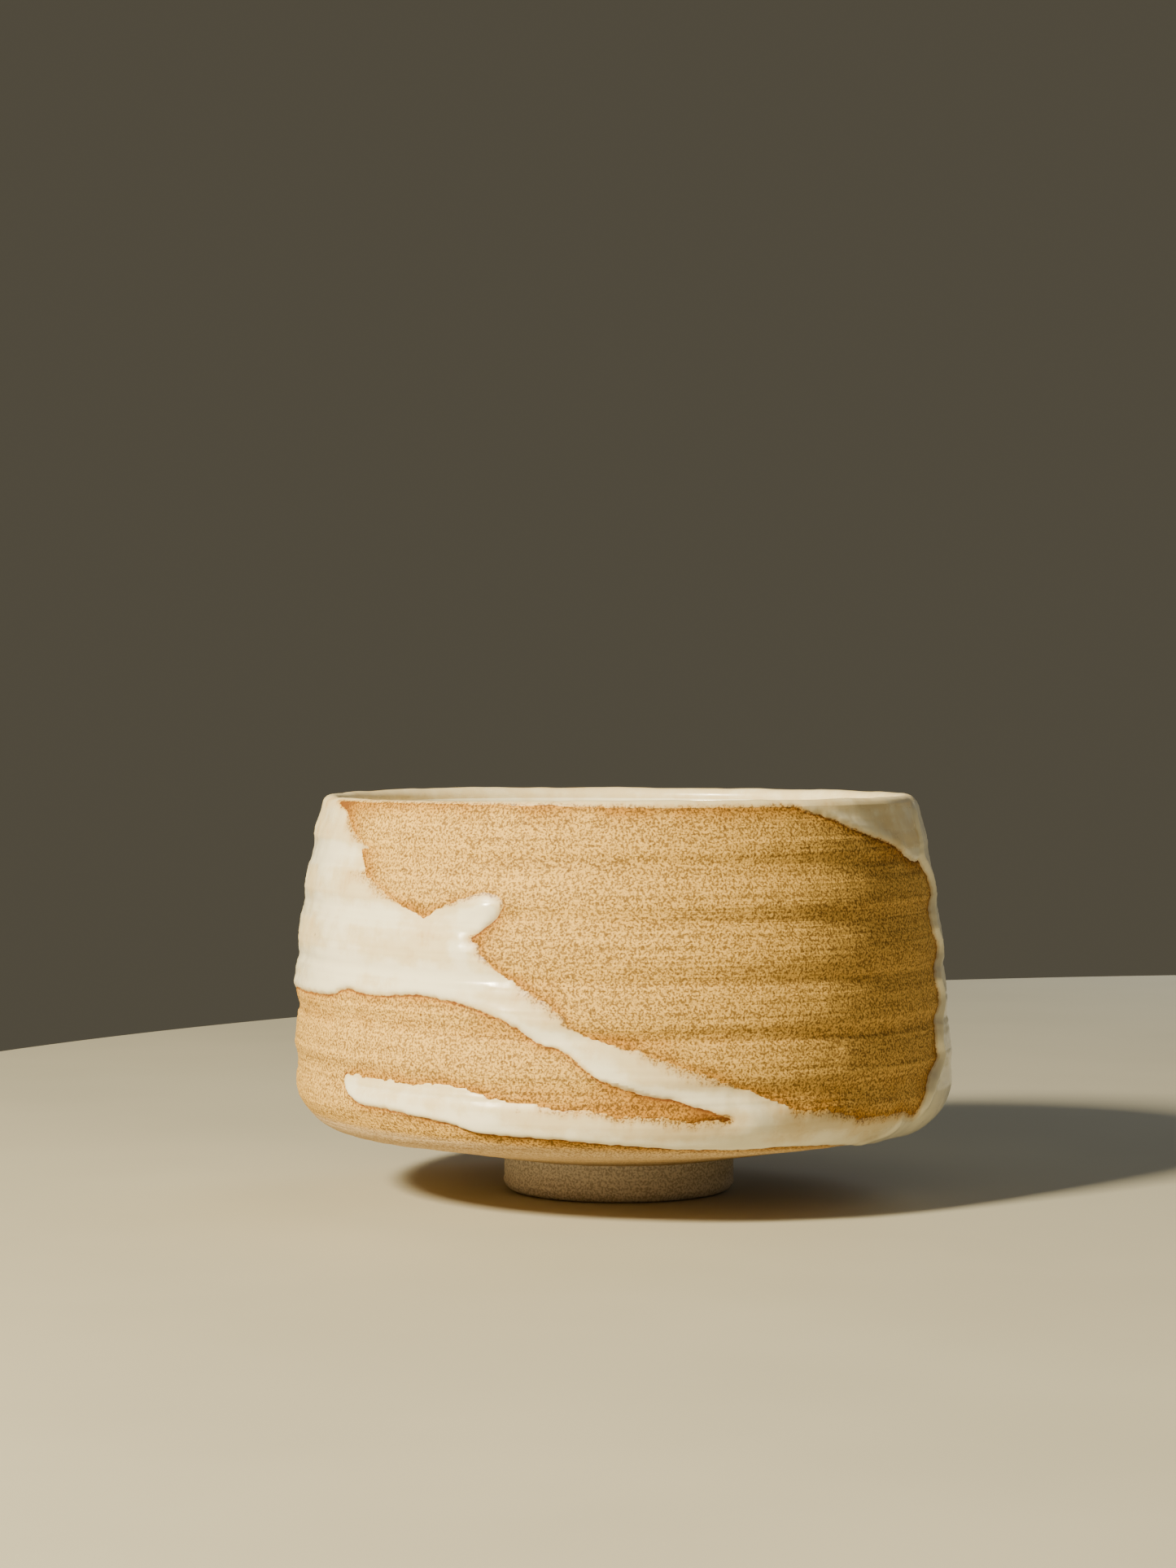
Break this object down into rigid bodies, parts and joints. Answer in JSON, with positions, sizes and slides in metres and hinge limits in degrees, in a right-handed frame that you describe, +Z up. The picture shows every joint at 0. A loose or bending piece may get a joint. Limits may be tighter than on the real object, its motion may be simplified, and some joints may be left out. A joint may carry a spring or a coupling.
{
  "type": "matcha bowl",
  "caption": "Wheel-thrown stoneware tea bowl with upright ridged walls, a low turned foot ring, a glazed inside and lip, and cream glaze poured over bare speckled clay.",
  "frame": {"origin": "middle of the foot ring on the surface the bowl stands on", "axes": "+Z up along the throwing axis, -Y towards the front with the bare clay window, +X to its right"},
  "size_m": [0.1198, 0.12, 0.073],
  "materials": {
    "bare_clay": "bare fired stoneware, fine dark speckle, satin",
    "foot_clay": "bare fired stoneware, turned, greyer and matt",
    "lining_glaze": "glossy cream glaze",
    "lip_glaze": "thin cream glaze over the lip",
    "poured_glaze": "satin cream-white glaze, thick rolled lower edges"
  },
  "bodies": {
    "root": {"clay_body": "bare_clay", "foot_ring": "foot_clay", "inner_glaze": "lining_glaze", "lip_glaze": "lip_glaze", "left_pour": "poured_glaze", "right_pour": "poured_glaze", "diagonal_run": "poured_glaze", "lower_stream": "poured_glaze"}
  },
  "joints": []
}
